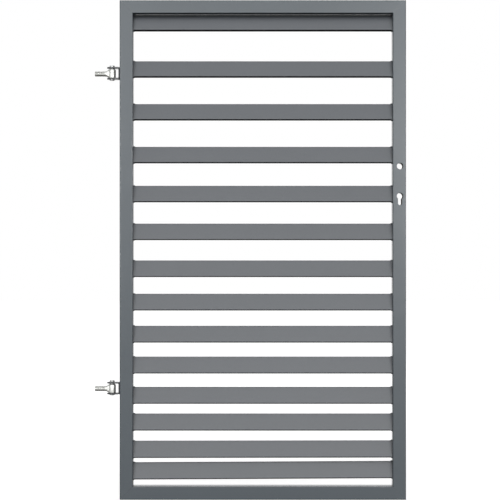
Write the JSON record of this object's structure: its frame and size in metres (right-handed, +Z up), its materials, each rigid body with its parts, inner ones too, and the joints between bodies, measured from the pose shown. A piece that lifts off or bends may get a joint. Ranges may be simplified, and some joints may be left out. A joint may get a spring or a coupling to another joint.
{
  "type": "fence gate",
  "caption": "Garden wicket gate leaf: mitred square steel tube frame, sloping sheet slats that close up towards the ground, two adjustable eye stud hinges, holes for a mortise lock.",
  "frame": {"origin": "centre of the lower hinge stud's end face, where it meets the post", "axes": "+X along the leaf from hinges to lock, -Y to the front, +Z up; the studs' ends face -X"},
  "size_m": [0.9355, 0.04, 1.5],
  "materials": {
    "frame_coat": "satin grey powder coat",
    "slat_coat": "satin grey powder coat",
    "hinge_zinc": "bright zinc plate"
  },
  "bodies": {
    "hinge_studs": {"lower_hinge_stud": "hinge_zinc", "upper_hinge_stud": "hinge_zinc"},
    "leaf": {"hinge_stile": "frame_coat", "lock_stile": "frame_coat", "top_rail": "frame_coat", "bottom_rail": "frame_coat", "slat_01": "slat_coat", "slat_02": "slat_coat", "slat_03": "slat_coat", "slat_04": "slat_coat", "slat_05": "slat_coat", "slat_06": "slat_coat", "slat_07": "slat_coat", "slat_08": "slat_coat", "slat_09": "slat_coat", "slat_10": "slat_coat", "slat_11": "slat_coat", "slat_12": "slat_coat", "slat_13": "slat_coat", "slat_14": "slat_coat", "lower_hinge_bracket": "frame_coat", "lower_hinge_bolt": "hinge_zinc", "lower_hinge_nut": "hinge_zinc", "lower_hinge_washer": "hinge_zinc", "upper_hinge_bracket": "frame_coat", "upper_hinge_bolt": "hinge_zinc", "upper_hinge_nut": "hinge_zinc", "upper_hinge_washer": "hinge_zinc"}
  },
  "joints": [
    {"name": "gate_swing", "type": "hinge", "parent": "hinge_studs", "child": "leaf", "pos_m": [0.0515, 0, 0], "axis": [0, 0, 1], "range_deg": [-100, 100]}
  ]
}
